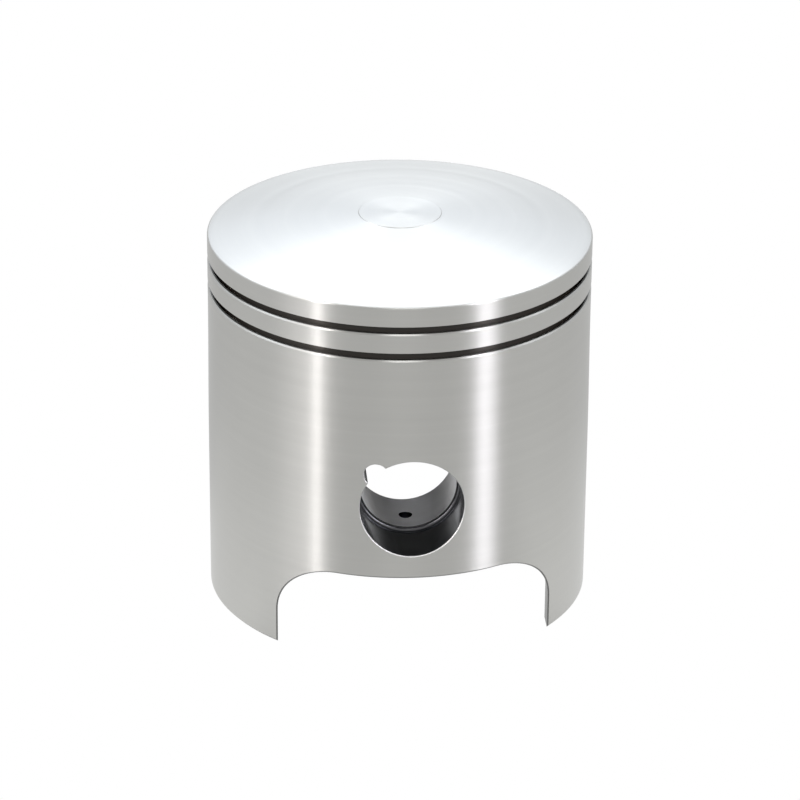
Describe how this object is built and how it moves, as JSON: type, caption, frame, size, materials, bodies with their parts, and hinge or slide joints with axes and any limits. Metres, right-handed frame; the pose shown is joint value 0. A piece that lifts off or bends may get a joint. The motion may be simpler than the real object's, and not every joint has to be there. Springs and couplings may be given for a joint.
{
  "type": "motorcycle piston",
  "caption": "Two-stroke motorcycle piston with split rings closed to size, ring pegs, a circlip in the front pin boss and a hollow wrist pin started in the rear boss.",
  "frame": {"origin": "middle of the flat disc at the top of the crown", "axes": "+Z out of the crown along the cylinder axis, Y along the pin bore with the fitted circlip at -Y and the started wrist pin at +Y, X across the skirts"},
  "size_m": [0.068, 0.0927, 0.0713],
  "materials": {
    "bare_aluminium": "satin, fine turned",
    "phosphated_iron": "dark phosphate, matt",
    "ground_steel": "ground and lapped",
    "spring_steel": "oil blackened"
  },
  "bodies": {
    "piston": {"piston_body": "bare_aluminium", "top_ring_peg": "ground_steel", "second_ring_peg": "ground_steel", "front_circlip": "spring_steel"},
    "wrist_pin": {"wrist_pin": "ground_steel"},
    "top_ring": {"top_ring": "phosphated_iron"},
    "second_ring": {"second_ring": "phosphated_iron"}
  },
  "joints": [
    {"name": "wrist_pin_slide", "type": "slide", "parent": "piston", "child": "wrist_pin", "axis": [0, -1, 0], "range_m": [-0.0195, 0.0354]},
    {"name": "top_ring_float", "type": "hinge", "parent": "piston", "child": "top_ring", "pos_m": [0, 0, -0.00777], "axis": [0, 0, 1], "range_deg": [-0.55, 0.55]},
    {"name": "second_ring_float", "type": "hinge", "parent": "piston", "child": "second_ring", "pos_m": [0, 0, -0.01262], "axis": [0, 0, 1], "range_deg": [-0.55, 0.55]}
  ]
}
